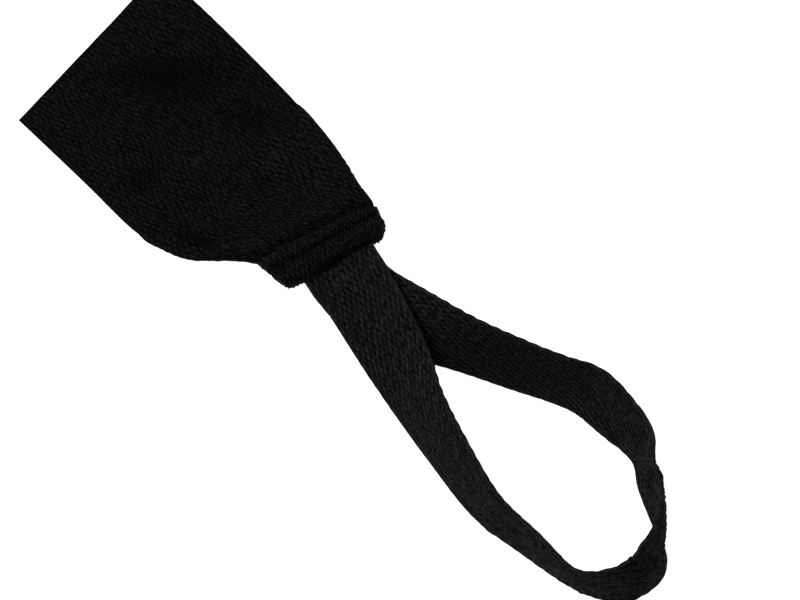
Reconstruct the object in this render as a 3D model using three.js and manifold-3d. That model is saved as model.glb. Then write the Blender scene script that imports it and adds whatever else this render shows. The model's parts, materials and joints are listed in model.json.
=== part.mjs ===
// Thumb-loop end of a boxing hand wrap, lying on a table: the cotton band, narrowed to its sewn end hem,
// and the webbing loop for the thumb, which stands on its edge round the bend.
// Millimetres. +X runs along the band towards the loop, +Y across it, +Z up from the table.

import * as THREE from 'three';
import { mergeVertices } from 'three/addons/utils/BufferGeometryUtils.js';
import loadManifold from 'manifold-3d';

// Cloth sizes
const BAND_WIDTH = 50;
const BAND_THICKNESS = 1.5;
const WEBBING_WIDTH = 19;
const WEBBING_THICKNESS = 1.2;
const SEWN_GAP = 0.25;

// The hem: where its back edge crosses the loop's line, how it lies across the band, how far it reaches to
// each side of that line, its bottom layer, and the rounding of its ends down to a share of its section
const HEM_PLACE = { x: 70.8, y: 6.5 };
const HEM_SLANT = THREE.MathUtils.degToRad(20);
const HEM_DEPTH = 10.3;
const HEM_REACH = { right: 14.2, leftBack: 16.8, leftFront: 14.7 };
const HEM_FLOOR_LAYER = 1;
const HEM_END_ROUND = 4.5;
const HEM_END_SHARE = 0.4;

// The hem's two rolls of cloth, each an oval about a centre, and the stretch of it that shows, in degrees
const UPPER_ROLL = { depth: 2, height: 3.2, halfDepth: 2, halfHeight: 2.3, from: 43, to: 225 };
const LOWER_ROLL = { depth: 6.9, height: 2.7, halfDepth: 3.4, halfHeight: 3.4, from: -40, to: 148 };

// How far the band reaches into the hem from behind, and how high it lies there
const BAND_TUCK = 2.6;
const BAND_TUCK_HEIGHT = 2.2;

// The loop's two sewn ends, one over the other: how far each reaches into the hem from the front, how it
// lies to the band, how far it stays flat outside, and the pocket in the hem that holds both
const UPPER_END = { tuck: 5, slant: THREE.MathUtils.degToRad(16), flat: 3 };
const LOWER_END = { tuck: 4, slant: THREE.MathUtils.degToRad(13), flat: 2.5 };
const END_POCKET = { depth: 6.4, width: 22 };

// Mesh steps
const BAND_STEPS = { along: 36, across: 28 };
const LOOP_STEPS = { along: 96, across: 4 };
const HEM_STEPS = { along: 30, arc: 12 };

const HALF_BAND = BAND_WIDTH / 2;

// The band, a row for each line across it from its cut end to the hem: where its two edges are,
// how high its underside lies there, and how wide a margin of each edge is turned under.
// A margin doubles the cloth once it is as wide as FULL_MARGIN.
const FULL_MARGIN = 5;
const BAND_ROWS = [
  { leftX: 0, leftY: -HALF_BAND, rightX: 0, rightY: HALF_BAND, base: 0, turned: 0 },
  { leftX: 22, leftY: -HALF_BAND, rightX: 22, rightY: HALF_BAND, base: 0, turned: 0 },
  { leftX: 38, leftY: -25.4, rightX: 43, rightY: 24.3, base: 0, turned: 0 },
  { leftX: 46, leftY: -24, rightX: 55, rightY: 23.5, base: 0, turned: 3 },
  { leftX: 53, leftY: -20.8, rightX: 63, rightY: 22.3, base: 0, turned: 6 },
  { leftX: 60.6, leftY: -13.8, rightX: 70, rightY: 20.6, base: 0.8, turned: 5 },
  { leftX: 65.2, leftY: -10.2, rightX: 75.2, rightY: 19.4, base: BAND_TUCK_HEIGHT, turned: 0 },
  { leftX: 68.3, leftY: -8, rightX: 77.3, rightY: 16.9, base: BAND_TUCK_HEIGHT, turned: 0 },
];

// Soft folds that lift the band off the table, each an oval rise with its crest along its turn in degrees
const BAND_FOLDS = [
  { x: 9, y: 17, turn: 22, halfLength: 26, halfWidth: 9, height: 1.7 },
  { x: 23, y: -5, turn: 35, halfLength: 18, halfWidth: 7, height: 1.3 },
  { x: 46, y: 4, turn: 49, halfLength: 24, halfWidth: 10, height: 2.1 },
  { x: 37, y: -20, turn: 5, halfLength: 14, halfWidth: 5, height: 1.5 },
];

// The loop between its sewn ends, a row for each section from the upper end round to the lower one:
// its centre, how far it is turned about its run (0 flat, 90 on edge, 180 flat with its other face up),
// how far its middle bulges out of the straight, and the height of its lower edge above the table.
const LOOP_ROWS = [
  { x: 87, y: 1.1, tilt: 8, bulge: 0, lift: 2.4 },
  { x: 93, y: -0.5, tilt: 20, bulge: 0, lift: 1.4 },
  { x: 106.2, y: -4.1, tilt: 35, bulge: 0, lift: 0 },
  { x: 116.4, y: -7.5, tilt: 51, bulge: 0.4, lift: 0 },
  { x: 128.9, y: -11.2, tilt: 60, bulge: 0.6, lift: 0 },
  { x: 145, y: -14.8, tilt: 68, bulge: 0.5, lift: 0 },
  { x: 159, y: -14.3, tilt: 76, bulge: 0.4, lift: 0 },
  { x: 172.7, y: -12.7, tilt: 80, bulge: 0.5, lift: 0 },
  { x: 181.8, y: -7.1, tilt: 66, bulge: 0.8, lift: 0 },
  { x: 184.4, y: 1.4, tilt: 68, bulge: 1.5, lift: 0 },
  { x: 178, y: 10, tilt: 90, bulge: 3.2, lift: 0 },
  { x: 171, y: 15.7, tilt: 106, bulge: 1.2, lift: 0 },
  { x: 164.5, y: 20.7, tilt: 105, bulge: 0.4, lift: 0 },
  { x: 154.8, y: 22.5, tilt: 122, bulge: 0.4, lift: 0 },
  { x: 145, y: 22.3, tilt: 128, bulge: 0.4, lift: 0 },
  { x: 128.5, y: 15.4, tilt: 125, bulge: 0.3, lift: 0 },
  { x: 113.4, y: 9.3, tilt: 135, bulge: 0, lift: 0 },
  { x: 97, y: 3.2, tilt: 162, bulge: 0, lift: 0 },
  { x: 89, y: 1.6, tilt: 174, bulge: 0, lift: 0.2 },
];

const UP = new THREE.Vector3(0, 0, 1);
const SAME_POINT = 1e-4;

const CLOTH_FINISH = { roughness: 0.92, metalness: 0 };
const cloth = (name, color) => new THREE.MeshStandardMaterial({ name, color, ...CLOTH_FINISH });
const bandCotton = cloth('black_cotton_band', '#131313');
const loopWebbing = cloth('black_cotton_webbing', '#1c1c1c');

/** Returns one smooth curve through three named columns of a table. */
function tableCurve(rows, first, second, third) {
  const points = rows.map((row) => new THREE.Vector3(row[first], row[second], row[third]));
  return new THREE.CatmullRomCurve3(points, false, 'catmullrom', 0.5);
}

/** Leaves a geometry with its shared corners only, so that its surface is closed. */
function closed(geometry) {
  geometry.deleteAttribute('normal');
  geometry.deleteAttribute('uv');
  const whole = mergeVertices(geometry, SAME_POINT);
  whole.computeVertexNormals();
  return whole;
}

/** Bends a unit slab into a wall of cloth by its shares along and across it, and -0.5 to 0.5 through it. */
function clothWall(steps, place) {
  const slab = new THREE.BoxGeometry(1, 1, 1, steps.along, steps.across, 1);
  const corners = slab.getAttribute('position');
  for (let i = 0; i < corners.count; i += 1) {
    const point = place(corners.getX(i) + 0.5, corners.getY(i) + 0.5, corners.getZ(i));
    corners.setXYZ(i, point.x, point.y, point.z);
  }
  return closed(slab);
}

/** Height that the band's folds add over a place on the table. */
function foldHeight(x, y) {
  let height = 0;
  for (const fold of BAND_FOLDS) {
    const turn = THREE.MathUtils.degToRad(fold.turn);
    const away = new THREE.Vector2(x - fold.x, y - fold.y).rotateAround(new THREE.Vector2(), -turn);
    const reach = Math.hypot(away.x / fold.halfLength, away.y / fold.halfWidth);
    if (reach < 1) height += fold.height * Math.cos((reach * Math.PI) / 2) ** 2;
  }
  return height;
}

/** The band: a wavy wall whose edges are turned under, so twice as thick, where it narrows to the hem. */
function bandGeometry() {
  const leftEdge = tableCurve(BAND_ROWS, 'leftX', 'leftY', 'base');
  const rightEdge = tableCurve(BAND_ROWS, 'rightX', 'rightY', 'base');
  const margin = tableCurve(BAND_ROWS, 'turned', 'turned', 'turned');
  return clothWall(BAND_STEPS, (along, across, through) => {
    const left = leftEdge.getPoint(along);
    const right = rightEdge.getPoint(along);
    const point = left.clone().lerp(right, across);
    const fromEdge = Math.min(across, 1 - across) * left.distanceTo(right);
    const turned = Math.max(margin.getPoint(along).x, 0);
    const doubled = turned > 0 ? 1 - THREE.MathUtils.smoothstep(fromEdge, turned / 2, turned) : 0;
    const fullMargin = THREE.MathUtils.smoothstep(turned, 0, FULL_MARGIN);
    const thickness = BAND_THICKNESS * (1 + doubled * fullMargin);
    point.z = Math.max(point.z, 0) + foldHeight(point.x, point.y) + (through + 0.5) * thickness;
    return point;
  });
}

/** The thumb loop: webbing that leaves the hem flat, stands on edge round the bend and comes back below. */
function loopGeometry() {
  const hemFront = {
    x: HEM_PLACE.x + Math.cos(HEM_SLANT) * HEM_DEPTH,
    y: HEM_PLACE.y - Math.sin(HEM_SLANT) * HEM_DEPTH,
  };
  const sewnRows = (end, tilt, lift) => [-end.tuck, 0, end.flat].map((reach) => ({
    x: hemFront.x + Math.cos(end.slant) * reach,
    y: hemFront.y - Math.sin(end.slant) * reach,
    tilt,
    bulge: 0,
    lift,
  }));
  const lowerLift = HEM_FLOOR_LAYER + SEWN_GAP;
  const upperLift = lowerLift + WEBBING_THICKNESS + SEWN_GAP;
  const rows = [
    ...sewnRows(UPPER_END, 0, upperLift),
    ...LOOP_ROWS,
    ...sewnRows(LOWER_END, 180, lowerLift).reverse(),
  ];
  const route = tableCurve(rows, 'x', 'y', 'lift');
  const turning = tableCurve(rows, 'tilt', 'bulge', 'bulge');
  return clothWall(LOOP_STEPS, (along, across, through) => {
    const turn = turning.getPoint(along);
    const tilt = THREE.MathUtils.degToRad(turn.x);
    const centre = route.getPoint(along);
    const run = route.getTangent(along).setZ(0).normalize();
    const outward = run.clone().cross(UP);
    const width = outward.clone().multiplyScalar(Math.cos(tilt)).addScaledVector(UP, -Math.sin(tilt));
    const face = outward.clone().multiplyScalar(Math.sin(tilt)).addScaledVector(UP, Math.cos(tilt));
    const rise = (WEBBING_WIDTH * Math.abs(width.z) + WEBBING_THICKNESS * Math.abs(face.z)) / 2;
    centre.z = Math.max(centre.z, 0) + rise;
    const bulge = turn.y * Math.sin(across * Math.PI);
    return centre
      .addScaledVector(width, (0.5 - across) * WEBBING_WIDTH)
      .addScaledVector(face, bulge + through * WEBBING_THICKNESS);
  });
}

/** The hem's section: two rolls of cloth with the stitched groove between them, flat underneath. */
function hemSection() {
  const section = new THREE.Shape();
  section.moveTo(UPPER_ROLL.depth - UPPER_ROLL.halfDepth / 2, 0);
  section.lineTo(LOWER_ROLL.depth + LOWER_ROLL.halfDepth / 2, 0);
  for (const roll of [LOWER_ROLL, UPPER_ROLL]) {
    const from = THREE.MathUtils.degToRad(roll.from);
    const to = THREE.MathUtils.degToRad(roll.to);
    section.absellipse(roll.depth, roll.height, roll.halfDepth, roll.halfHeight, from, to, false);
  }
  return section;
}

/** The hem's outside: its section run from -1, its right end, to 1, its left end, both of them rounded. */
function hemRolls() {
  const body = new THREE.ExtrudeGeometry(hemSection(), {
    depth: 2,
    steps: HEM_STEPS.along,
    curveSegments: HEM_STEPS.arc,
    bevelEnabled: false,
  });
  body.translate(0, 0, -1);
  const corners = body.getAttribute('position');
  for (let i = 0; i < corners.count; i += 1) {
    const depth = corners.getX(i);
    const towards = corners.getZ(i);
    const leftReach = THREE.MathUtils.lerp(HEM_REACH.leftBack, HEM_REACH.leftFront, depth / HEM_DEPTH);
    const reach = towards > 0 ? leftReach : HEM_REACH.right;
    const intoRound = HEM_END_ROUND - (1 - Math.abs(towards)) * reach;
    const bend = THREE.MathUtils.clamp(intoRound / HEM_END_ROUND, 0, 1);
    const share = HEM_END_SHARE + (1 - HEM_END_SHARE) * Math.sqrt(1 - bend * bend);
    const roundedDepth = THREE.MathUtils.lerp(HEM_DEPTH / 2, depth, share);
    corners.setXYZ(i, roundedDepth, corners.getY(i) * share, towards * reach);
  }
  return body;
}

/** The hem: its rolls, cut open behind for the band and in front for the loop's two ends. */
function hemGeometry(wasm) {
  const slitDepth = BAND_TUCK + SEWN_GAP;
  const slitHeight = BAND_THICKNESS + 2 * SEWN_GAP;
  const bandSlit = new THREE.BoxGeometry(2 * slitDepth, slitHeight, 2 * BAND_WIDTH);
  bandSlit.translate(0, BAND_TUCK_HEIGHT + BAND_THICKNESS / 2, 0);
  const pocketHeight = 2 * WEBBING_THICKNESS + 3 * SEWN_GAP;
  const endPocket = new THREE.BoxGeometry(2 * END_POCKET.depth, pocketHeight, END_POCKET.width);
  endPocket.translate(HEM_DEPTH, HEM_FLOOR_LAYER + pocketHeight / 2, 0);

  const solid = (geometry) => {
    const whole = closed(geometry);
    return new wasm.Manifold(new wasm.Mesh({
      numProp: 3,
      vertProperties: new Float32Array(whole.getAttribute('position').array),
      triVerts: new Uint32Array(whole.index.array),
    }));
  };
  const cut = solid(hemRolls()).subtract(solid(bandSlit)).subtract(solid(endPocket)).getMesh();
  const hem = new THREE.BufferGeometry();
  hem.setAttribute('position', new THREE.BufferAttribute(cut.vertProperties, 3));
  hem.setIndex(new THREE.BufferAttribute(cut.triVerts, 1));
  hem.computeVertexNormals();
  return hem.rotateX(Math.PI / 2);
}

const wasm = await loadManifold();
wasm.setup();

const addPiece = (parent, name, geometry, material) => {
  const piece = new THREE.Mesh(geometry, material);
  piece.name = name;
  parent.add(piece);
  return piece;
};

const handWrap = new THREE.Group();
addPiece(handWrap, 'wrap_band', bandGeometry(), bandCotton);
addPiece(handWrap, 'thumb_loop', loopGeometry(), loopWebbing);
const hem = addPiece(handWrap, 'end_hem', hemGeometry(wasm), bandCotton);
hem.rotation.z = -HEM_SLANT;
hem.position.set(HEM_PLACE.x, HEM_PLACE.y, 0);

// The origin is on the table, under the middle of the whole piece.
const extent = new THREE.Box3().setFromObject(handWrap, true);
const middle = extent.getCenter(new THREE.Vector3());
handWrap.position.set(-middle.x, -middle.y, -extent.min.z);

export default handWrap;
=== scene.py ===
"""Thumb-loop end of a boxing hand wrap: woven band, rolled hem, its stitches and the webbing loop."""

import json
import math

import bmesh
import bpy
import numpy as np
from bpy.props import FloatProperty, FloatVectorProperty, IntProperty, PointerProperty
from mathutils import Matrix, Vector


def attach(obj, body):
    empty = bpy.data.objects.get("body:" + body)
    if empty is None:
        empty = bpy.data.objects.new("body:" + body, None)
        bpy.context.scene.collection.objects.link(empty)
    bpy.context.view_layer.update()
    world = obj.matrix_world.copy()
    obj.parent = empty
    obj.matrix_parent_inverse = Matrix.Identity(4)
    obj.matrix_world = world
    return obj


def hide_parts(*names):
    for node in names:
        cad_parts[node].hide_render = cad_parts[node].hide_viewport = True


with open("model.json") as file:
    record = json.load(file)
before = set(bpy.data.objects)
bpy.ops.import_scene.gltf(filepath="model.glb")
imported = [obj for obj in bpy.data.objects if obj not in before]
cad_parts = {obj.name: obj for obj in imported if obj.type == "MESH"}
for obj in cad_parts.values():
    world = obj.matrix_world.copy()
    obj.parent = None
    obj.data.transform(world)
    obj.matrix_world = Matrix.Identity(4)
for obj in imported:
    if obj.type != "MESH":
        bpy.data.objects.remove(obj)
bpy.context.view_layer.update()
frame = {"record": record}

bl_info = {
    "name": "Boxing Hand Wrap",
    "version": (1, 0, 0),
    "blender": (4, 5, 0),
    "location": "View3D > Sidebar > Hand Wrap",
    "description": "Lays the band, hem, stitches and thumb loop of a hand wrap on a white table",
    "category": "Add Mesh",
}

MM = 0.001
UP = np.array((0.0, 0.0, 1.0))
YARN_STEPS = 3  # mesh columns to a warp yarn: one in the gap beside it and two on the yarn
PICK_STEPS = 4  # mesh rows to a pick, which is one crossing under or over a weft yarn

# How unevenly spun cotton weaves: the first three in picks, the rest in shares
YARN_DRIFT = 0.13  # how far a yarn's crossings drift from those of the yarn beside it
YARN_STRAY = 0.1  # how far they stray besides
PICK_WANDER = 0.1  # how far a weft yarn wanders
YARN_SPREAD = 0.18  # how much the yarns differ in their rise
CROSSING_SPREAD = 0.38  # how much one yarn's crossings differ in their rise
YARN_LEAN = 0.3  # how far a yarn steps aside on its way between crossings
CROWN_POINT = 0.25  # how much more pointed its crowns are than its dips

# How much of the lit tops of the yarns shows, as shares
LEVEL_CROWN = 0.42  # on a yarn at its middle height
RISE_CROWN = 0.45  # added to that by the usual rise
GAP_CROWN = 0.22  # in the gaps
RIM_HIGHLIGHT = 0.6  # at the least along the webbing's edges, as a painted highlight
MOST_PAINTED_SHADE = 0.9  # the most of the yarns' painted highlight that painted shade takes away

# Along a strip's edges, in thicknesses of its cloth: where its relief is whole, and where its painted
# highlight rim ends
RELIEF_WHOLE = 2
RIM_ENDS = (0.5, 1.2)
GAP_WALL = 0.62  # thickness of a cloth in the gaps, as a share of that on the yarns

BAND_SHINE = 0.012  # specular level of the band's matt cotton
WEBBING_SHINE = 0.018  # specular level of the webbing, whose yarns are smoother
WAVE_REPEAT = 0.314  # distance at which a wave texture with a scale of 1 repeats


def linear(hex_colour):
    """The linear values of an sRGB hex colour."""
    channels = [int(hex_colour[i:i + 2], 16) / 255 for i in (1, 3, 5)]
    return [c / 12.92 if c <= 0.04045 else ((c + 0.055) / 1.055) ** 2.4 for c in channels]


def table(columns, *rows):
    """A small table as one array for each named column."""
    return dict(zip(columns.split(), np.array(rows, float).T))


# The tables below are in millimetres and degrees, on the table top: x runs from the band's cut end
# towards the loop, y across it from its centreline.

# Lines across the band, from its cut end into the hem: the band's two edges, how high it lies,
# and how much of each edge is turned under
BAND_ROWS = table(
    "left_x left_y right_x right_y base turned",
    (0, -25, 0, 25, 0, 0),
    (22, -25, 22, 25, 0, 0),
    (38, -25.2, 43, 24.3, 0, 0.4),
    (46, -23.4, 55, 23.2, 0, 3.4),
    (53, -20.4, 63, 21.8, 0, 6),
    (60.6, -13.5, 70, 19.9, 0.3, 6.5),
    (65.2, -10.1, 75.2, 19, 0.9, 6.5),
    (68.3, -8, 77.3, 16.9, 1.0, 6.5),
)

# Soft rises and dents of the band, each an oval with its long way along its turn
BAND_FOLDS = table(
    "x y turn half_length half_width height",
    (9, 17, 22, 26, 9, 1.7),
    (23, -5, 35, 18, 7, 1.3),
    (46, 4, 49, 24, 10, 2.1),
    (37, -20, 5, 14, 5, 1.5),
    (52.5, -16.2, 28, 6.5, 2.8, -0.8),
)

# Places where the band is painted darker, as shares of its painted highlight taken away: painted shade in
# its valleys and dents; and painted lighter, as shares below 0: painted light on its right side and along
# its right edge
BAND_PAINTED_SHADING = table(
    "x y turn half_length half_width height",
    (18.5, 8.5, 44, 24, 7.5, 0.55),
    (20, 3, 46, 28, 13, 0.35),
    (41, 13.5, 35, 12, 9, 0.45),
    (31.5, -15, 63, 8, 5, 0.6),
    (52, -16.3, 28, 7.5, 3.4, 0.8),
    (60, -12.5, 40, 4, 2.5, 0.4),
    (57, 13, 20, 15, 11, -0.45),
    (50, -5, 40, 12, 8, -0.15),
    (56, 22, -9, 18, 4.5, -0.35),
)

# The loop between its sewn ends, from the upper end round to the lower one: its middle line, how far
# it is turned about its run (0 flat, 90 on edge), how far its middle bulges and its height off the table
LOOP_ROWS = table(
    "x y tilt bulge lift",
    (87, 1.6, 17, 0, 1.2),
    (93, 0, 21, 0, 0.8),
    (106.2, -4.1, 32, 0, 0),
    (116.3, -7.8, 47.5, 0.4, 0),
    (128.9, -11.2, 56.5, 0.6, 0),
    (145, -14.6, 64.5, 0.5, 0),
    (159, -14, 70.5, 0.4, 0),
    (172.7, -12.7, 77, 0.5, 0),
    (181.4, -6.8, 62, 0.8, 0),
    (183.2, -2.8, 60.5, 1.1, 0),
    (183.6, 1.4, 60.5, 1.3, 0),
    (181.2, 5.5, 71.5, 1.9, 0),
    (177.7, 9.7, 90, 2.7, 0),
    (170.9, 15.6, 106, 2.3, 0),
    (165.8, 18.95, 104.3, 0.7, 0),
    (160.3, 21.75, 118.5, 0.4, 0),
    (154.8, 22.3, 126, 0.4, 0),
    (145, 22.3, 131, 0.4, 0),
    (137.5, 19.4, 128, 0.3, 0),
    (128.5, 15.4, 130, 0.3, 0),
    (113.4, 9.3, 137.5, 0, 0),
    (97, 3.2, 162, 0, 0),
    (89, 1.6, 166, 0, 0.1),
)

# Creases of the loop, as oval bumps towards its outer face: the run along it from its upper sewn end,
# the place across it, the turn of the crease and its size
LOOP_CREASES = table(
    "x y turn half_length half_width height",
    (78, 5, 20, 3, 7, 0.6),
    (85, 0, -15, 3.5, 9, -0.6),
    (95, -3, 25, 4, 9, 0.5),
    (104, 0, 10, 2.6, 13, 0.8),
    (111, 2, -20, 3, 9, -0.6),
    (117.5, 0, 15, 2.4, 13, 0.9),
    (123, 2, -10, 2.6, 11, -0.4),
    (136, 0, 20, 3, 10, -0.5),
    (143, 0, -15, 2.6, 13, 0.7),
    (150.5, 0, 10, 2.6, 13, -0.8),
    (158, 3, 20, 4, 9, 0.5),
)

# Painted shade on the loop, as shares: most on the stretch that lies in the other arm's shade, a little on
# the front arm;
# and painted light, as shares below 0, where it turns at its far end; by the run along it and the place
# across it
LOOP_PAINTED_SHADING = table(
    "x y turn half_length half_width height",
    (192, 0, 0, 30, 22, 0.42),
    (84, -3, 30, 4, 6, 0.3),
    (124, 0, 0, 9, 14, -0.5),
)

# The loop's two sewn ends: how far each reaches into the hem, how it lies to the band, how far it
# runs straight outside, its tilt in the hem and how much it turns on the way out, and its height in
# the hem, at its mouth and outside
LOOP_ENDS = table(
    "tuck slant straight tilt turn inside mouth outside",
    (5, 16, 3, 0, 10, 2.7, 1.9, 1.6),
    (4, 13, 2.5, 180, -8, 1.25, 0.6, 0.3),
)

# The hem's two rolls of cloth, each an oval about a centre, and the stretch of it that shows
HEM_ROLLS = table(
    "depth height half_depth half_height start end",
    (6.9, 2.7, 3.4, 3.4, -50, 148),
    (2, 3.2, 2, 2.3, 43, 250),
)

# The hem's two ends, right then left: how far each reaches from the loop's line at its back and at its
# front, the depth that its rounding closes on, how long the rounding is and the share of the hem's
# section that is left at its very end
HEM_ENDS = table(
    "back front closing rounding least", (14.2, 14, 2.8, 5, 0.3), (18, 15.4, 1, 3.4, 0.4))

# Across the hem, by the distance from the loop's line: how deep the stitched groove lies, how much of
# its dent is left, and how deep the hem's front lies
HEM_LINES = table(
    "along groove dent front",
    (-17, 4.2, 1, 9.9),
    (-8, 3.9, 1, 9.9),
    (-2, 3.6, 1, 9.8),
    (2, 3.3, 0.8, 9.1),
    (9, 2.9, 0.4, 8.9),
    (11.5, 2.8, 0.35, 9.8),
    (15, 2.7, 0.3, 9.6),
)

# Painted shade on the hem, as shares, by the distance from the loop's line and the depth: strongest on the
# front of its roll, where it is undercut, and weaker over much of the hem
HEM_PAINTED_SHADE = table(
    "x y turn half_length half_width height",
    (-1.5, 8.6, 0, 7, 2.2, 0.85),
    (7.5, 8.2, 0, 6, 1.3, 0.7),
    (-2, 5, 0, 24, 9, 0.25),
)

# The hem's groove and stitches, in millimetres and shares
GROOVE_PLACE = 0.95  # where the groove lies in the section, as a share of the back roll's depth
GROOVE_DENT = 0.4  # how far the stitches press it in
GROOVE_REACH = 0.7  # how far its dent reaches to each side
GROOVE_FLOOR = 3  # the height above which it is pressed in, which is the hem's top
HEM_UNDERSIDE = 0.2  # the height below which the hem lies flat, without relief
STITCH_PULL = 0.25  # how far the dent swings to each side of its mean from stitch to stitch, as a share
STITCH_FILL = 0.88  # share of a stitch's length that its thread shows
STITCH_HEIGHT = 4.2  # how high the stitches lie
STITCH_FREE = 2.5  # how much of each end of the hem has no stitches

# The webbing on edge: the sines of its tilt between which its painted streaks of highlight and shade come
# in, how many picks long they are, and how much their tones differ
ON_EDGE = (0.75, 0.95)
STREAK_PICKS = 2
STREAK_SPREAD = 0.55

# How far slack cloth shifts the band's yarns along it and across it, as waves over the band
SHIFT_ALONG = table("size x_length y_length phase", (0.45, 5, 1.7, 0), (0.8, -6.3, 4.3, 1.1))
SHIFT_ACROSS = table("size x_length y_length phase", (0.4, 2.9, 8, 0), (0.6, 6.1, -7, 2.3))

# Where the cloth is slack: how far from the band's edges and from its cut end it begins and is whole
EDGE_SLACK = (1, 8)
END_SLACK = (1, 10)

# The band before the hem, in millimetres: how far off each thing is strongest, and how far it spreads
PUCKER_PLACE = (1, 3)  # the gathers
SWELL_PLACE = (3, 1.8)  # the cloth pushed up
SEAM_SHADE_PLACE = (0, 1.5)  # the painted shade in the crease at the seam
SEAM_PAINTED_SHADE = 0.5  # how much painted highlight that painted shade takes away, as a share
SWELL_EDGE = 4  # how far from the turned edges the swell is whole
GATHER_WANDER = 1.3  # how far the gathers stray from an even pitch, in radians of it
GATHER_BEAT = 0.7  # how often they do, in radians to a millimetre

# The band's turned edges: the shares of the doubled cloth over which the band comes down from them,
# how far round the fold the relief is pressed, in radians, and how much of it that takes away
FOLD_FADE = (0.45, 1.35)
FOLD_REACH = 2
FOLD_PRESS = 0.65
MOST_PAINTED_LIGHT = -0.6  # the most painted light on the band, as a share of painted shade below 0

# Slight unevenness of the band: the lengths of its waves, and their height as a share of that
RUMPLE_LENGTHS = (7.0, 9.0, 12.0, 16.0)
RUMPLE_HEIGHT = 0.006


def origin_on_table():
    """The tables' origin in the frame: the middle of the band's cut end, on the table top."""
    for mount in frame["record"]["mounts"]:
        if mount["name"] == "cut_end":
            return np.array((mount["pos_m"][0], mount["pos_m"][1], 0.0))
    raise ValueError("the record has no mount named cut_end")


def in_frame(points):
    """Points of the tables, in millimetres, as points of the frame, in metres."""
    return points * MM + origin_on_table()


def smooth_step(value, low, high):
    """0 below low, 1 above high and a smooth rise between them."""
    share = np.clip((value - low) / (high - low), 0, 1)
    return share * share * (3 - 2 * share)


def hump(value, middle, spread):
    """1 at the middle and a soft fall to each side."""
    return np.exp(-((value - middle) / spread) ** 2)


def along_rows(column, shares):
    """One column of a table as a smooth curve through its rows, read at shares of the way from 0 to 1."""
    before, after = 2 * column[0] - column[1], 2 * column[-1] - column[-2]
    knots = np.concatenate(([before], column, [after]))
    place = np.clip(shares, 0, 1) * (len(column) - 1)
    first = np.minimum(place.astype(int), len(column) - 2)
    t = place - first
    a, b, c, d = (knots[first + i] for i in range(4))
    bend = (3 * b - a - 3 * c + d) * t + 2 * a - 5 * b + 4 * c - d
    return 0.5 * ((bend * t + c - a) * t + 2 * b)


def even_shares(steps, *columns):
    """Shares of a table's rows that step evenly along the curve through some columns, and its length."""
    samples = 2000
    shares = np.linspace(0, 1, samples)
    line = np.stack([along_rows(column, shares) for column in columns], axis=1)
    run = np.concatenate(([0], np.cumsum(np.linalg.norm(np.diff(line, axis=0), axis=1))))
    return np.interp(np.linspace(0, run[-1], steps + 1), run, shares), run[-1]


def grid_normals(points):
    """Unit normals of a grid of points whose rows run along the cloth and columns across it."""
    normals = np.cross(np.gradient(points, axis=0), np.gradient(points, axis=1))
    return normals / np.maximum(np.linalg.norm(normals, axis=2, keepdims=True), 1e-12)


def plain_weave(rows, columns, seed):
    """A warp-faced plain weave on a grid: each point's rise, its step to the side in shares of a yarn's
    pitch, and 1 on a yarn or 0 in the gap beside it. Yarns wander a little, as spun cotton does."""
    random = np.random.default_rng(seed)
    warp = np.arange(columns) // YARN_STEPS
    yarns = warp[-1] + 1
    on_yarn = (np.arange(columns) % YARN_STEPS > 0).astype(float)[None, :]
    late = np.cumsum(random.normal(0, YARN_DRIFT, yarns)) + random.normal(0, YARN_STRAY, yarns)
    strong = random.normal(1, YARN_SPREAD, yarns)
    pick = np.arange(rows) / PICK_STEPS
    crossings = round(pick[-1]) + 1
    uneven = random.normal(1, CROSSING_SPREAD, (crossings, yarns))[np.round(pick).astype(int)][:, warp]
    wander = np.interp(pick, np.arange(crossings), random.normal(0, PICK_WANDER, crossings))
    beat = np.pi * ((pick + wander)[:, None] + (warp + late[warp])[None, :])
    rise = (np.cos(beat) + CROWN_POINT * np.cos(2 * beat)) * strong[warp] * uneven * on_yarn
    return rise, YARN_LEAN * np.sin(beat) * on_yarn, np.repeat(on_yarn, rows, axis=0)


def crown_share(rise, on_yarn, painted_shading=0.0):
    """How much painted highlight a yarn's top gets: least in the painted shade of the gaps, less under
    painted shade and more under painted light.
    """
    shown = (LEVEL_CROWN + RISE_CROWN * rise) * on_yarn + GAP_CROWN * (1 - on_yarn)
    return np.clip(shown, 0, 1) * (1 - painted_shading)


def shaped_grid(name, points, crown, cloth_size):
    """A mesh grid moved onto rows of points, its coinciding edges closed, with a UV map in metres of
    cloth and the attribute crown, the share of painted highlight, which is 1 on top of a yarn and 0 in the
    painted shade between yarns."""
    rows, columns = crown.shape
    bm = bmesh.new()
    uv = bm.loops.layers.uv.new("cloth")
    bmesh.ops.create_grid(bm, x_segments=columns - 1, y_segments=rows - 1, size=0.5, calc_uvs=True)
    shade = bm.verts.layers.float.new("crown")
    for vert in bm.verts:
        column = round((vert.co.x + 0.5) * (columns - 1))
        row = round((vert.co.y + 0.5) * (rows - 1))
        vert[shade] = crown[row, column]
        vert.co = points[row, column]
    for face in bm.faces:
        face.smooth = True
        for loop in face.loops:
            loop[uv].uv = loop[uv].uv[0] * cloth_size[0], loop[uv].uv[1] * cloth_size[1]
    bmesh.ops.remove_doubles(bm, verts=bm.verts, dist=1e-7)
    bmesh.ops.dissolve_degenerate(bm, edges=bm.edges, dist=1e-8)
    bmesh.ops.recalc_face_normals(bm, faces=bm.faces)
    mesh = bpy.data.meshes.new(name)
    bm.to_mesh(mesh)
    bm.free()
    return mesh


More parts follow.
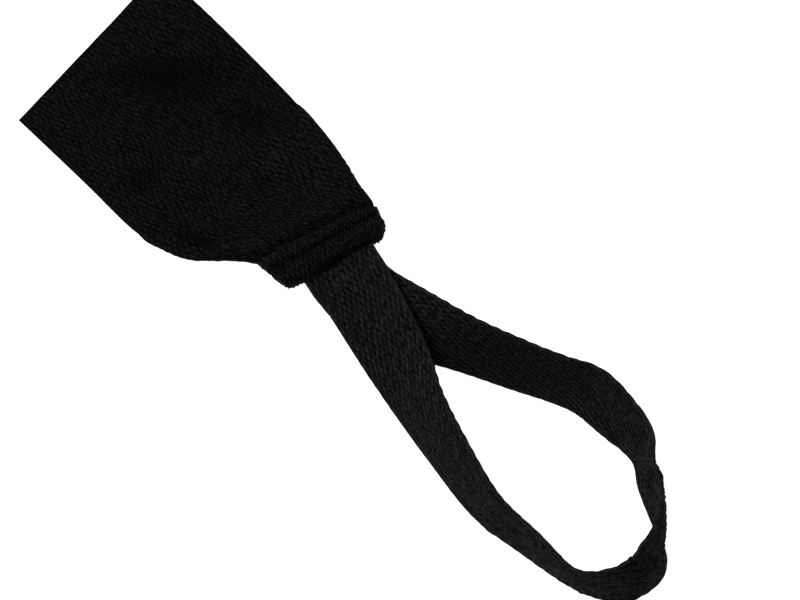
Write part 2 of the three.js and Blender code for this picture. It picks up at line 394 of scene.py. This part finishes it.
def woven_strip(name, middle, thickness, relief, weave, cloth_size, painted_shading=0.0, rim_highlight=0.0):
    """A strip of cloth with two woven faces and rounded edges about its middle layer, in the frame."""
    rise, on_yarn = weave
    normal = grid_normals(middle)
    side = np.linalg.norm(np.diff(middle, axis=1, prepend=middle[:, :1]), axis=2)
    from_edge = np.minimum(np.cumsum(side, axis=1), np.cumsum(side[:, ::-1], axis=1)[:, ::-1])
    from_edge[:, -1] = 0
    rounding = np.sqrt(1 - (1 - np.clip(from_edge / thickness, 0, 1)) ** 2)
    half = thickness / 2 * rounding * (GAP_WALL + (1 - GAP_WALL) * on_yarn)
    wave = (relief * rise * smooth_step(from_edge, 0, RELIEF_WHOLE * thickness))[:, :, None] * normal
    core = middle + wave
    wall = half[:, :, None] * normal
    around = np.concatenate((core + wall, (core - wall)[:, -2::-1]), axis=1)
    closing = np.concatenate((core, core[:, -2::-1]), axis=1)
    points = np.concatenate((closing[:1], around, closing[-1:]))
    # A painted highlight along the webbing's edges.
    painted_rim = rim_highlight * (1 - smooth_step(from_edge / thickness, *RIM_ENDS))
    top = np.maximum(crown_share(rise, on_yarn, painted_shading), painted_rim)
    bottom = np.maximum(crown_share(-rise, on_yarn, painted_shading), painted_rim)
    crown = np.concatenate((top, bottom[:, -2::-1]), axis=1)
    crown = np.concatenate((crown[:1], crown, crown[-1:]))
    return shaped_grid(name, points, crown, (2 * cloth_size[0], cloth_size[1]))


def add_piece(name, mesh, material, node=None):
    """An object for a mesh, in the scene, riding on the wrap and standing for its solid."""
    mesh.materials.append(material)
    piece = bpy.data.objects.new(name, mesh)
    bpy.context.scene.collection.objects.link(piece)
    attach(piece, "root")
    if node:
        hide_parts(node)
    return piece


def add_node(tree, kind, inputs=(), **settings):
    """A shader node with its settings; each input is a value, or a socket to link from."""
    node = tree.nodes.new(kind)
    for key, value in settings.items():
        setattr(node, key, value)
    for socket, value in dict(inputs).items():
        if isinstance(value, bpy.types.NodeSocket):
            tree.links.new(value, node.inputs[socket])
        else:
            node.inputs[socket].default_value = value
    return node


def woven_cotton(name, highlight_colour, shade_colour, warp, pick, shine):
    """Black cotton, spun and woven: matt yarns with a painted highlight on their crowns, painted shade in
    the nearly black gaps between them, a soft fuzz seen edge-on, and here and there a paler fibre."""
    material = bpy.data.materials.new(name)
    material.use_nodes = True
    tree = material.node_tree
    tree.nodes.clear()
    cloth = add_node(tree, "ShaderNodeUVMap", uv_map="cloth").outputs["UV"]
    place = add_node(tree, "ShaderNodeTexCoord").outputs["Object"]
    crown = add_node(tree, "ShaderNodeAttribute", attribute_name="crown").outputs["Fac"]

    # Yarns differ in tone along their length, over about a yarn's width by three picks.
    yarn_place = add_node(tree, "ShaderNodeMapping", {
        "Vector": cloth, "Scale": (1 / warp, 1 / (3 * pick), 1),
    })
    yarn_tone = add_node(tree, "ShaderNodeTexNoise", {
        "Vector": yarn_place.outputs["Vector"], "Scale": 1.0, "Detail": 1.0,
    }).outputs["Fac"]
    # Tufts of fibre, 0.5 mm and finer. Real ones are finer still: this is as fine as the render can show.
    fibres = add_node(tree, "ShaderNodeTexNoise", {
        "Vector": place, "Scale": 1 / (0.5 * MM), "Detail": 2.0, "Roughness": 0.7,
    }).outputs["Fac"]
    tufts = add_node(tree, "ShaderNodeMapRange", {
        "Value": fibres, "From Min": 0.36, "From Max": 0.64, "To Min": 0.0, "To Max": 2.0,
    }).outputs["Result"]
    # The yarns' tone is about a half and the tufts about 1, so the gain brings the usual tone back to 1.
    tone_gain = 1.8
    tone = add_node(tree, "ShaderNodeMath", {0: yarn_tone, 1: tufts}, operation="MULTIPLY")
    lit = add_node(tree, "ShaderNodeMath", {0: tone.outputs[0], 1: tone_gain}, operation="MULTIPLY")
    # The crown attribute mixes the painted highlight on the yarns' tops with the painted shade in the gaps
    # between them.
    shade = add_node(
        tree, "ShaderNodeMath", {0: crown, 1: lit.outputs[0]}, operation="MULTIPLY", use_clamp=True)
    colour = add_node(tree, "ShaderNodeMix", {
        "Factor": shade.outputs[0], "A": (*shade_colour, 1), "B": (*highlight_colour, 1),
    }, data_type="RGBA")

    # The twist of the yarn: fine ridges slanting across it, 0.22 mm apart.
    twist_place = add_node(tree, "ShaderNodeMapping", {
        "Vector": cloth, "Rotation": (0, 0, math.radians(28)),
    })
    twist = add_node(tree, "ShaderNodeTexWave", {
        "Vector": twist_place.outputs["Vector"], "Scale": WAVE_REPEAT / (0.22 * MM), "Distortion": 1.5,
    }, bands_direction="Y").outputs["Fac"]
    height = add_node(tree, "ShaderNodeMath", {0: twist, 1: fibres}, operation="ADD")
    bump = add_node(tree, "ShaderNodeBump", {
        "Height": height.outputs[0], "Strength": 0.5, "Distance": 0.04 * MM,
    })
    surface = add_node(tree, "ShaderNodeBsdfPrincipled", {
        "Base Color": colour.outputs["Result"],
        "Normal": bump.outputs["Normal"],
        "Roughness": 0.72,
        "IOR": 1.53,
        "Specular IOR Level": shine,
        "Sheen Weight": 0.012,
        "Sheen Roughness": 0.45,
    })
    add_node(tree, "ShaderNodeOutputMaterial", {"Surface": surface.outputs["BSDF"]})
    return material


def band_cotton(colours, weave):
    """The band's cloth, made once for the band and its hem."""
    name = "black_woven_cotton"
    return bpy.data.materials.get(name) or woven_cotton(
        name, colours.band_crown_highlight, colours.band_gap_shade, weave.band_warp, weave.band_pick, BAND_SHINE)


def plain_surface(name, colour, roughness, shine, glow=0.0):
    """A smooth even surface: the spun thread, or the painted board of the table."""
    material = bpy.data.materials.new(name)
    material.use_nodes = True
    surface = material.node_tree.nodes["Principled BSDF"]
    surface.inputs["Base Color"].default_value = (*colour, 1)
    surface.inputs["Roughness"].default_value = roughness
    surface.inputs["Specular IOR Level"].default_value = shine
    surface.inputs["Emission Color"].default_value = (1, 1, 1, 1)
    surface.inputs["Emission Strength"].default_value = glow
    return material


class WrapSizes(bpy.types.PropertyGroup):
    """Sizes of the hand wrap's cloth, hem and thread."""

    band_width: FloatProperty(
        name="Band width", description="Width of the woven band", default=0.050, unit="LENGTH")
    band_cloth: FloatProperty(
        name="Band cloth", description="Thickness of the band without its relief", default=0.0011,
        unit="LENGTH")
    edge_fold: FloatProperty(
        name="Edge fold", description="Radius of the band's turned edges", default=0.00075, unit="LENGTH")
    pucker: FloatProperty(
        name="Pucker", description="Height of the gathers against the hem", default=0.0006, unit="LENGTH")
    swell: FloatProperty(
        name="Swell", description="Height of the cloth pushed up behind the hem", default=0.0017,
        unit="LENGTH")
    pucker_pitch: FloatProperty(
        name="Pucker pitch", description="Distance between gathers", default=0.0028, unit="LENGTH")
    webbing_width: FloatProperty(
        name="Webbing width", description="Width of the thumb loop's webbing", default=0.019, unit="LENGTH")
    webbing_cloth: FloatProperty(
        name="Webbing cloth", description="Thickness of the webbing without its relief", default=0.0011,
        unit="LENGTH")
    hem_place: FloatVectorProperty(
        name="Hem place", description="Where the hem's back edge crosses the loop's line, from the cut end",
        size=2, default=(0.0708, 0.0065), unit="LENGTH")
    hem_slant: FloatProperty(
        name="Hem slant", description="How the hem lies across the band", default=math.radians(20),
        subtype="ANGLE")
    hem_depth: FloatProperty(
        name="Hem depth", description="Depth of the hem along the band", default=0.0103, unit="LENGTH")
    stitch: FloatProperty(
        name="Stitch", description="Length of a stitch", default=0.0024, unit="LENGTH")
    thread: FloatProperty(
        name="Thread", description="Thickness of the sewing thread", default=0.00045, unit="LENGTH")


class WrapWeave(bpy.types.PropertyGroup):
    """Yarn pitches and relief of the two cloths."""

    band_warp: FloatProperty(
        name="Band warp", description="Distance between the band's yarns", default=0.00058, unit="LENGTH")
    band_pick: FloatProperty(
        name="Band pick", description="Length of one crossing in the band", default=0.00172, unit="LENGTH")
    band_relief: FloatProperty(
        name="Band relief", description="How far the band's yarns rise and sink", default=0.00017,
        unit="LENGTH")
    webbing_warp: FloatProperty(
        name="Webbing warp", description="Distance between the webbing's yarns", default=0.00070,
        unit="LENGTH")
    webbing_pick: FloatProperty(
        name="Webbing pick", description="Length of one crossing in the webbing", default=0.0017,
        unit="LENGTH")
    webbing_relief: FloatProperty(
        name="Webbing relief", description="How far the webbing's yarns rise and sink", default=0.00016,
        unit="LENGTH")
    seed: IntProperty(name="Seed", description="Which wander the yarns take", default=7)


class WrapColours(bpy.types.PropertyGroup):
    """Colours of the cloths, the thread and the table."""

    # The yarn colours are a painted highlight on the yarns' tops, and the gap colours painted shade between
    # the yarns.
    band_crown_highlight: FloatVectorProperty(
        name="Band yarn", description="Top of the band's yarns", subtype="COLOR",
        default=linear("#1d1d1d"))
    band_gap_shade: FloatVectorProperty(
        name="Band gap", description="Between the band's yarns", subtype="COLOR",
        default=linear("#020202"))
    webbing_crown_highlight: FloatVectorProperty(
        name="Webbing yarn", description="Top of the webbing's yarns", subtype="COLOR",
        default=linear("#262626"))
    webbing_gap_shade: FloatVectorProperty(
        name="Webbing gap", description="Between the webbing's yarns", subtype="COLOR",
        default=linear("#030303"))
    thread: FloatVectorProperty(
        name="Thread", description="Sewing thread", subtype="COLOR", default=linear("#0a0a0a"))
    table: FloatVectorProperty(
        name="Table", description="White board under the wrap", subtype="COLOR",
        default=linear("#f6f6f4"))


def hem_axes(sizes):
    """The hem's back edge on the loop's line, in millimetres, its way forward and its way to the right."""
    corner = np.array((*sizes.hem_place, 0)) / MM
    turn = sizes.hem_slant
    forward = np.array((math.cos(turn), -math.sin(turn), 0))
    right = np.array((math.sin(turn), math.cos(turn), 0))
    return corner, forward, right


def oval_bumps(ovals, x, y):
    """The sum of a table's soft oval bumps over each place."""
    height = np.zeros(np.broadcast(x, y).shape)
    for i, turn in enumerate(np.radians(ovals["turn"])):
        dx, dy = x - ovals["x"][i], y - ovals["y"][i]
        along = (dx * math.cos(turn) + dy * math.sin(turn)) / ovals["half_length"][i]
        across = (dy * math.cos(turn) - dx * math.sin(turn)) / ovals["half_width"][i]
        reach = np.minimum(np.hypot(along, across), 1)
        height += ovals["height"][i] * np.cos(reach * math.pi / 2) ** 2
    return height


def hem_outline(steps):
    """Depth and height round the hem's section in even steps, from the back of its flat underside."""
    arc_steps = 200
    depth, height = [], []
    for i in range(len(HEM_ROLLS["depth"])):
        angle = np.radians(np.linspace(HEM_ROLLS["start"][i], HEM_ROLLS["end"][i], arc_steps))
        depth.append(HEM_ROLLS["depth"][i] + HEM_ROLLS["half_depth"][i] * np.cos(angle))
        height.append(HEM_ROLLS["height"][i] + HEM_ROLLS["half_height"][i] * np.sin(angle))
    back = HEM_ROLLS["depth"][1]
    front = HEM_ROLLS["depth"][0] + HEM_ROLLS["half_depth"][0] / 2
    line = np.stack((np.concatenate(([back, front], *depth, [back])),
                     np.concatenate(([0, 0], *height, [0]))), axis=1)
    run = np.concatenate(([0], np.cumsum(np.linalg.norm(np.diff(line, axis=0), axis=1))))
    place = np.linspace(0, run[-1], steps + 1)
    return np.interp(place, run, line[:, 0]), np.interp(place, run, line[:, 1]), run[-1]


def across_hem(column, along):
    """One column of the hem's lines at a distance along it from the loop's line."""
    return np.interp(along, HEM_LINES["along"], HEM_LINES[column])


class HANDWRAP_OT_roll_hem(bpy.types.Operator):
    """Roll the band's end over the loop's ends as a hem of two rolls with a stitched groove"""

    bl_idname = "hand_wrap.roll_hem"
    bl_label = "Roll Hem"
    bl_options = {"REGISTER", "UNDO"}

    def execute(self, context):
        sizes, weave = context.scene.wrap_sizes, context.scene.wrap_weave
        warp, pick = weave.band_warp / MM, weave.band_pick / MM
        whole_depth = sizes.hem_depth / MM
        round_way = hem_outline(1)[2]
        rows = PICK_STEPS * round(round_way / pick)
        columns = YARN_STEPS * round(HEM_ENDS["back"].sum() / warp)
        rise, step, on_yarn = plain_weave(rows + 1, columns + 1, weave.seed + 1)

        depth, height, _ = hem_outline(rows)
        depth, height = depth[:, None], height[:, None]
        towards = np.linspace(1, -1, columns + 1)[None, :] + step * 2 * YARN_STEPS / columns
        towards = np.clip(towards, -1, 1)
        end = {name: np.where(towards > 0, column[1], column[0]) for name, column in HEM_ENDS.items()}
        reach = end["back"] + (end["front"] - end["back"]) * depth / whole_depth
        along = -towards * reach
        bend = np.clip(1 - (1 - np.abs(towards)) * reach / end["rounding"], 0, 1)
        share = end["least"] + (1 - end["least"]) * np.sqrt(1 - bend * bend)

        # The groove wanders: the section is drawn out behind it and pressed in front of it.
        usual = (HEM_ROLLS["depth"][1] + HEM_ROLLS["half_depth"][1]) * GROOVE_PLACE
        groove = across_hem("groove", along)
        behind = depth * groove / usual
        ahead = groove + (depth - usual) * (across_hem("front", along) - groove) / (whole_depth - usual)
        depth = np.where(depth < usual, behind, ahead)
        near_groove = hump(depth, groove, GROOVE_REACH) * (height > GROOVE_FLOOR)
        pull = 1 - STITCH_PULL + STITCH_PULL * np.cos(2 * math.pi * along / (sizes.stitch / MM))
        height = height - GROOVE_DENT * across_hem("dent", along) * near_groove * pull
        # Painted shade on the hem: strongest on the undercut lower front of its roll.
        painted_shading = np.clip(oval_bumps(HEM_PAINTED_SHADE, along, depth), 0, MOST_PAINTED_SHADE) * (height > 0)
        depth = end["closing"] + (depth - end["closing"]) * share

        corner, forward, right = hem_axes(sizes)
        middle = corner + depth[:, :, None] * forward + along[:, :, None] * right
        middle = middle + (height * share)[:, :, None] * UP
        ends = middle.mean(axis=0, keepdims=True) * np.ones_like(middle)
        relief = weave.band_relief / MM * rise * (height > HEM_UNDERSIDE)
        skin = middle + relief[:, :, None] * -grid_normals(middle)
        points = np.concatenate((ends[:, :1], skin, ends[:, -1:]), axis=1)
        points[-1] = points[0]
        crown = crown_share(rise, on_yarn, painted_shading)
        crown = np.concatenate((crown[:, :1], crown, crown[:, -1:]), axis=1)
        mesh = shaped_grid(
            "end_hem_cloth", in_frame(points), crown, (HEM_ENDS["back"].sum() * MM, round_way * MM))
        cotton = band_cotton(context.scene.wrap_colours, weave)
        add_piece("end_hem_rolled", mesh, cotton, "end_hem")
        return {"FINISHED"}


class HANDWRAP_OT_sew_stitches(bpy.types.Operator):
    """Sew one row of stitches along the hem's groove"""

    bl_idname = "hand_wrap.sew_stitches"
    bl_label = "Sew Stitches"
    bl_options = {"REGISTER", "UNDO"}

    def execute(self, context):
        sizes = context.scene.wrap_sizes
        corner, forward, right = hem_axes(sizes)
        stitch, thread = sizes.stitch / MM, sizes.thread / MM
        reach = HEM_ENDS["back"] - STITCH_FREE
        bm = bmesh.new()
        count = int(reach.sum() // stitch)
        for i in range(count):
            along = -reach[1] + (i + 0.5) * stitch
            depth = float(across_hem("groove", along))
            slope = float(across_hem("groove", along + 0.5) - across_hem("groove", along - 0.5))
            middle = in_frame(corner + depth * forward + along * right + STITCH_HEIGHT * UP)
            turn = Matrix.Rotation(math.pi / 2 - sizes.hem_slant - slope, 4, "Z")
            size = Matrix.Diagonal((stitch * STITCH_FILL / 2 * MM, thread / 2 * MM, thread / 2 * MM, 1))
            bmesh.ops.create_uvsphere(
                bm, u_segments=10, v_segments=6, radius=1, matrix=Matrix.Translation(middle) @ turn @ size)
        for face in bm.faces:
            face.smooth = True
        mesh = bpy.data.meshes.new("hem_stitch_thread")
        bm.to_mesh(mesh)
        bm.free()
        thread_finish = plain_surface(
            "black_sewing_thread", context.scene.wrap_colours.thread, roughness=0.5, shine=0.03)
        add_piece("hem_stitches", mesh, thread_finish)
        return {"FINISHED"}


def loop_rows(sizes):
    """The loop's whole table, with straight rows where its two ends are sewn into the hem."""
    corner, forward, _ = hem_axes(sizes)
    front = corner + forward * sizes.hem_depth / MM
    ends = []
    for i in range(len(LOOP_ENDS["tuck"])):
        slant = math.radians(LOOP_ENDS["slant"][i])
        reach = np.array((-LOOP_ENDS["tuck"][i], 0, LOOP_ENDS["straight"][i]))
        turned = np.array((0, 0.4, 1))  # the share of its turn in the hem, at its mouth and outside
        ends.append({
            "x": front[0] + math.cos(slant) * reach,
            "y": front[1] - math.sin(slant) * reach,
            "tilt": LOOP_ENDS["tilt"][i] + turned * LOOP_ENDS["turn"][i],
            "bulge": np.zeros(3),
            "lift": np.array([LOOP_ENDS[place][i] for place in ("inside", "mouth", "outside")]),
        })
    first, last = ends
    return {name: np.concatenate((first[name], rows, last[name][::-1])) for name, rows in LOOP_ROWS.items()}


def painted_yarn_streaks(rows, columns, seed):
    """Painted highlight and shade of webbing on edge, in streaks: yarns that lie proud catch the light and
    shade their neighbours.
    """
    random = np.random.default_rng(seed)
    yarn = np.arange(columns + 1) // YARN_STEPS
    begins = random.uniform(0, 1, columns + 1)[yarn]
    streak = (np.arange(rows + 1)[:, None] / (PICK_STEPS * STREAK_PICKS) + begins).astype(int)
    return random.normal(0, STREAK_SPREAD, (streak.max() + 1, yarn.max() + 1))[streak, yarn]


def loop_middle(sizes, weave, rows, columns, side_step):
    """The webbing's middle layer, in millimetres, flat at the hem and on edge round the bend, and its
    painted shading: painted shade above 0, painted light below."""
    strip = loop_rows(sizes)
    shares, length = even_shares(rows, strip["x"], strip["y"])
    at = {name: along_rows(column, shares) for name, column in strip.items()}
    width = sizes.webbing_width / MM
    thickness = (sizes.webbing_cloth + 2 * weave.webbing_relief) / MM
    across = np.linspace(0.5, -0.5, columns + 1)[None, :] + side_step * YARN_STEPS / columns
    across = np.clip(across, -0.5, 0.5)

    run_x, run_y = np.gradient(at["x"]), np.gradient(at["y"])
    run = np.hypot(run_x, run_y)
    outward = np.stack((run_y / run, -run_x / run, np.zeros_like(run)), axis=1)
    tilt = np.radians(at["tilt"])[:, None]
    wide = np.cos(tilt) * outward - np.sin(tilt) * UP
    face = np.sin(tilt) * outward + np.cos(tilt) * UP
    rise = (width * np.abs(wide[:, 2]) + thickness * np.abs(face[:, 2])) / 2
    line = np.stack((at["x"], at["y"], np.maximum(at["lift"], 0) + rise), axis=1)
    along, offset = np.linspace(0, length, rows + 1)[:, None], across * width
    bulge = at["bulge"][:, None] * np.cos(across * math.pi) + oval_bumps(LOOP_CREASES, along, offset)
    points = line[:, None] + offset[:, :, None] * wide[:, None] + bulge[:, :, None] * face[:, None]
    lowest = points[:, :, 2].min(axis=1, keepdims=True)
    points[:, :, 2] += np.maximum(thickness / 2 * np.abs(face[:, 2:]) - lowest, 0)
    # Painted streaks of highlight and shade where the webbing stands on edge.
    painted_streaks = smooth_step(np.sin(tilt), *ON_EDGE) * painted_yarn_streaks(rows, columns, weave.seed + 3)
    # Painted shade and light from the loop's table, less the painted streaks.
    return points, np.clip(oval_bumps(LOOP_PAINTED_SHADING, along, offset) - painted_streaks, -1, MOST_PAINTED_SHADE)


class HANDWRAP_OT_bend_loop(bpy.types.Operator):
    """Bend the webbing into the thumb loop, standing on its edge round the bend"""

    bl_idname = "hand_wrap.bend_loop"
    bl_label = "Bend Loop"
    bl_options = {"REGISTER", "UNDO"}

    def execute(self, context):
        sizes, weave = context.scene.wrap_sizes, context.scene.wrap_weave
        colours = context.scene.wrap_colours
        strip = loop_rows(sizes)
        length = even_shares(1, strip["x"], strip["y"])[1] * MM
        columns = YARN_STEPS * round(sizes.webbing_width / weave.webbing_warp)
        rows = PICK_STEPS * round(length / weave.webbing_pick)
        rise, step, on_yarn = plain_weave(rows + 1, columns + 1, weave.seed + 2)
        middle, painted_shading = loop_middle(sizes, weave, rows, columns, step)
        mesh = woven_strip(
            "thumb_loop_cloth", in_frame(middle), sizes.webbing_cloth, weave.webbing_relief,
            (rise, on_yarn), (sizes.webbing_width, length), painted_shading, RIM_HIGHLIGHT)
        webbing = woven_cotton(
            "black_cotton_webbing", colours.webbing_crown_highlight, colours.webbing_gap_shade,
            weave.webbing_warp, weave.webbing_pick, WEBBING_SHINE)
        piece = add_piece("thumb_loop_webbing", mesh, webbing, "thumb_loop")
        return {"FINISHED"}


def band_rumple(x, y, seed):
    """Slight unevenness of limp cloth, as a few long low waves."""
    random = np.random.default_rng(seed)
    height = np.zeros_like(x)
    for length in RUMPLE_LENGTHS:
        turn, phase = random.uniform(0, 2 * math.pi, 2)
        wave = (x * math.cos(turn) + y * math.sin(turn)) * 2 * math.pi / length + phase
        height += RUMPLE_HEIGHT * length * (1 + np.sin(wave))
    return height


def shift(waves, x, y):
    """The sum of a table's waves over each place."""
    whole = np.zeros(np.broadcast(x, y).shape)
    for i, size in enumerate(waves["size"]):
        whole += size * np.sin(x / waves["x_length"][i] + y / waves["y_length"][i] + waves["phase"][i])
    return whole


def band_middle(sizes, weave, rows, columns, side_step):
    """The band's middle layer, in millimetres, with its edges turned under where it narrows to the hem,
    its painted shading (painted shade above 0, painted light below), and how much of its relief is left
    round the turned edges."""
    shares, _ = even_shares(rows, (BAND_ROWS["left_x"] + BAND_ROWS["right_x"]) / 2)
    at = {name: along_rows(column, shares)[:, None] for name, column in BAND_ROWS.items()}
    across = np.linspace(-1, 1, columns + 1)[None, :] + side_step * 2 * YARN_STEPS / columns
    across = np.clip(across, -1, 1)
    run_x, run_y = at["right_x"] - at["left_x"], at["right_y"] - at["left_y"]
    width = np.hypot(run_x, run_y)

    turned = np.maximum(at["turned"], 0)
    radius = sizes.edge_fold / MM
    curl = math.pi * smooth_step(turned, 0, math.pi * radius)
    margin = np.maximum(turned - math.pi * radius, 0)
    flat_half = width / 2 - radius * np.sin(np.minimum(curl, math.pi / 2))
    arc = np.abs(across) * (flat_half + radius * curl + margin)
    bend = np.clip((arc - flat_half) / radius, 0, curl)
    under = np.maximum(arc - flat_half - radius * curl, 0)
    offset = np.minimum(arc, flat_half) + radius * np.sin(bend) + under * np.cos(curl)
    drop = radius * (1 - np.cos(bend)) + under * np.sin(curl)
    edge_rise = radius * (1 - np.cos(curl))
    doubled = 2 * radius + margin
    lift = edge_rise * (1 - smooth_step((flat_half - arc) / doubled, *FOLD_FADE))

    share = 0.5 + 0.5 * np.sign(across) * 2 * offset / width
    x, y = at["left_x"] + run_x * share, at["left_y"] + run_y * share
    slack = smooth_step(width / 2 - offset, *EDGE_SLACK) * smooth_step(at["left_x"], *END_SLACK)
    x = x + slack * shift(SHIFT_ALONG, x, y)
    y = y + slack * shift(SHIFT_ACROSS, x, y)
    corner, forward, right = hem_axes(sizes)
    before_hem = -((x - corner[0]) * forward[0] + (y - corner[1]) * forward[1])
    along_hem = (x - corner[0]) * right[0] + (y - corner[1]) * right[1]
    gather = 2 * math.pi * along_hem / (sizes.pucker_pitch / MM)
    gather = gather + GATHER_WANDER * np.sin(along_hem * GATHER_BEAT)
    pucker = sizes.pucker / MM * (0.5 + 0.5 * np.cos(gather)) * hump(before_hem, *PUCKER_PLACE)
    swell = sizes.swell / MM * hump(before_hem, *SWELL_PLACE) * smooth_step(flat_half - arc, 0, SWELL_EDGE)
    on_top = bend < math.pi / 2
    half = (sizes.band_cloth + 2 * weave.band_relief) / MM / 2
    z = half + np.maximum(at["base"], 0) + oval_bumps(BAND_FOLDS, x, y) + band_rumple(x, y, weave.seed)
    z = np.maximum(z + lift - drop + (pucker + swell) * on_top, half)
    # Painted shade in the band's valleys, dents and the crease at the seam, and painted light on its right
    # side and edge.
    painted_shading = oval_bumps(BAND_PAINTED_SHADING, x, y) + SEAM_PAINTED_SHADE * hump(before_hem, *SEAM_SHADE_PLACE)
    round_edge = curl / math.pi * hump((arc - flat_half) / radius, math.pi / 2, FOLD_REACH)
    middle = np.stack(np.broadcast_arrays(x, y, z), axis=2)
    return middle, np.clip(painted_shading, MOST_PAINTED_LIGHT, MOST_PAINTED_SHADE), 1 - FOLD_PRESS * round_edge


class HANDWRAP_OT_lay_band(bpy.types.Operator):
    """Lay the woven band on the table, narrowed and turned under towards the hem"""

    bl_idname = "hand_wrap.lay_band"
    bl_label = "Lay Band"
    bl_options = {"REGISTER", "UNDO"}

    def execute(self, context):
        sizes, weave = context.scene.wrap_sizes, context.scene.wrap_weave
        colours = context.scene.wrap_colours
        columns = YARN_STEPS * round(sizes.band_width / weave.band_warp)
        length = even_shares(1, (BAND_ROWS["left_x"] + BAND_ROWS["right_x"]) / 2)[1] * MM
        rows = PICK_STEPS * round(length / weave.band_pick)
        rise, step, on_yarn = plain_weave(rows + 1, columns + 1, weave.seed)
        middle, painted_shading, relief_left = band_middle(sizes, weave, rows, columns, step)
        mesh = woven_strip(
            "wrap_band_cloth", in_frame(middle), sizes.band_cloth, weave.band_relief,
            (rise * relief_left, on_yarn), (sizes.band_width, length), painted_shading)
        piece = add_piece("wrap_band_woven", mesh, band_cotton(colours, weave), "wrap_band")
        return {"FINISHED"}


class HANDWRAP_OT_set_stage(bpy.types.Operator):
    """Put the wrap on a white table under soft light, seen straight from above"""

    bl_idname = "hand_wrap.set_stage"
    bl_label = "Set Stage"
    bl_options = {"REGISTER", "UNDO"}

    # The picture's way right in the frame, the frame's point in its middle and the width it shows
    picture_right = Vector((0.725, 0.689, 0)).normalized()
    picture_middle = Vector((0.00196, 0.00509, 0))
    picture_width = 0.1928
    camera_height = 3.0
    camera_far = 20.0

    # The board reaches past the picture on all sides, and lies just clear of the cloth's underside
    board_half = 3
    board_gap = 0.0001
    room_light = 0.12

    # Lamps: name, how far right and up in the picture, height and size, in metres, and power in watts
    lamps = (
        ("overhead", 0.0, 0.0, 1.2, 1.0, 5.0),
        ("key", -0.6, 0.4, 0.8, 0.4, 9.0),
    )

    def execute(self, context):
        scene = context.scene
        bm = bmesh.new()
        bmesh.ops.create_grid(bm, x_segments=1, y_segments=1, size=self.board_half)
        bmesh.ops.translate(bm, verts=bm.verts, vec=(0, 0, -self.board_gap))
        mesh = bpy.data.meshes.new("table_top_board")
        bm.to_mesh(mesh)
        bm.free()
        paint = plain_surface(
            "white_painted_board", scene.wrap_colours.table, roughness=0.7, shine=0.3, glow=0.85)
        mesh.materials.append(paint)
        board = bpy.data.objects.new("table_top", mesh)
        scene.collection.objects.link(board)

        up = Vector((0, 0, 1)).cross(self.picture_right)
        for name, right, upward, height, size, power in self.lamps:
            data = bpy.data.lights.new(name, "AREA")
            data.size = size
            data.energy = power
            lamp = bpy.data.objects.new(name, data)
            lamp.location = self.picture_middle + self.picture_right * right + up * upward
            lamp.location.z = height
            lamp.rotation_euler = (self.picture_middle - lamp.location).to_track_quat("-Z", "Y").to_euler()
            lamp.visible_camera = False
            scene.collection.objects.link(lamp)

        world = bpy.data.worlds.new("white_room")
        world.use_nodes = True
        world.node_tree.nodes["Background"].inputs["Color"].default_value = (1, 1, 1, 1)
        world.node_tree.nodes["Background"].inputs["Strength"].default_value = self.room_light
        scene.world = world
        scene.view_settings.view_transform = "Standard"
        scene.view_settings.look = "None"

        data = bpy.data.cameras.new("camera")
        data.sensor_width = 36.0
        data.lens = data.sensor_width * self.camera_height / self.picture_width
        data.clip_end = self.camera_far
        camera = bpy.data.objects.new("camera", data)
        place = self.picture_middle + Vector((0, 0, self.camera_height))
        turned = Matrix((self.picture_right, up, (0, 0, 1))).transposed().to_4x4()
        camera.matrix_world = Matrix.Translation(place) @ turned
        scene.collection.objects.link(camera)
        scene.camera = camera
        return {"FINISHED"}


class HANDWRAP_PT_panel(bpy.types.Panel):
    """The hand wrap's sizes, and a button for each step of making it"""

    bl_idname = "HANDWRAP_PT_panel"
    bl_label = "Hand Wrap"
    bl_space_type = "VIEW_3D"
    bl_region_type = "UI"
    bl_category = "Hand Wrap"

    def draw(self, context):
        for group in (context.scene.wrap_sizes, context.scene.wrap_weave, context.scene.wrap_colours):
            column = self.layout.column(align=True)
            for name in group.__annotations__:
                column.prop(group, name)
        for operator in OPERATORS:
            self.layout.operator(operator.bl_idname)


OPERATORS = (
    HANDWRAP_OT_roll_hem,
    HANDWRAP_OT_sew_stitches,
    HANDWRAP_OT_bend_loop,
    HANDWRAP_OT_lay_band,
    HANDWRAP_OT_set_stage,
)
GROUPS = {"wrap_sizes": WrapSizes, "wrap_weave": WrapWeave, "wrap_colours": WrapColours}


def register():
    for name, group in GROUPS.items():
        bpy.utils.register_class(group)
        setattr(bpy.types.Scene, name, PointerProperty(type=group))
    for cls in (*OPERATORS, HANDWRAP_PT_panel):
        bpy.utils.register_class(cls)


def unregister():
    for cls in reversed((*OPERATORS, HANDWRAP_PT_panel)):
        bpy.utils.unregister_class(cls)
    for name, group in reversed(GROUPS.items()):
        delattr(bpy.types.Scene, name)
        bpy.utils.unregister_class(group)


def main():
    register()
    bpy.ops.hand_wrap.roll_hem()
    bpy.ops.hand_wrap.sew_stitches()
    bpy.ops.hand_wrap.bend_loop()
    bpy.ops.hand_wrap.lay_band()
    bpy.ops.hand_wrap.set_stage()
    bpy.context.view_layer.update()


if __name__ == "__main__":
    main()
